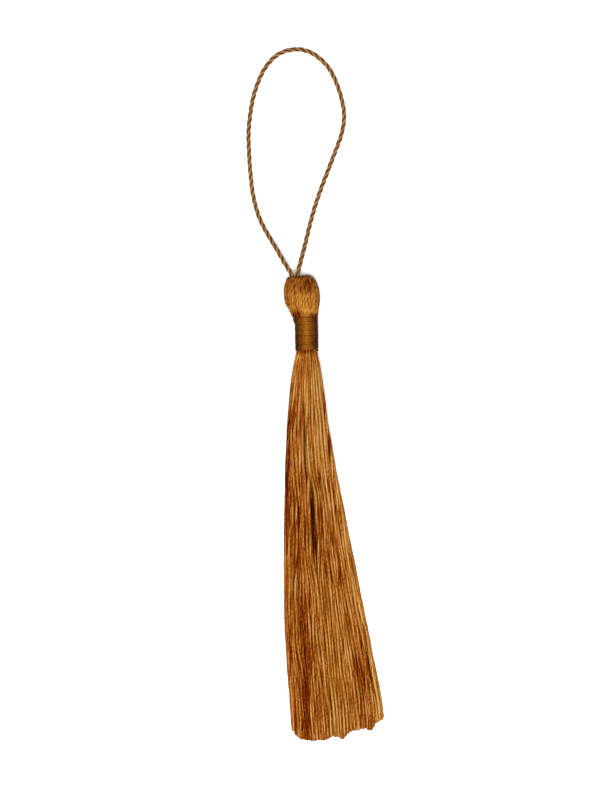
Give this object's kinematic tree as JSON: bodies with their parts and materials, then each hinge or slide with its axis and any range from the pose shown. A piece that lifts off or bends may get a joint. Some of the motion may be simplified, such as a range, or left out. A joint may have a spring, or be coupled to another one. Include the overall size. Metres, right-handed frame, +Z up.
{
  "type": "silk tassel",
  "caption": "Silk tassel lying flat: round head of folded floss on a twisted hanging loop, neck wound with thread, long skirt of loose twisted yarns.",
  "frame": {"origin": "on the surface that the tassel lies on, under the middle of the tassel without its loop", "axes": "+Y along the tassel from its cut ends to its head, +X across the skirt, +Z up off the surface"},
  "size_m": [0.0266, 0.1341, 0.0061],
  "materials": {
    "floss": "lustrous golden brown twisted silk floss",
    "neck_binding": "darker brown silk thread, wound close and flat",
    "hanging_loop": "three-ply twisted silk cord with a soft sheen"
  },
  "bodies": {
    "root": {"floss": "floss", "neck_binding": "neck_binding", "hanging_loop": "hanging_loop"}
  },
  "joints": []
}
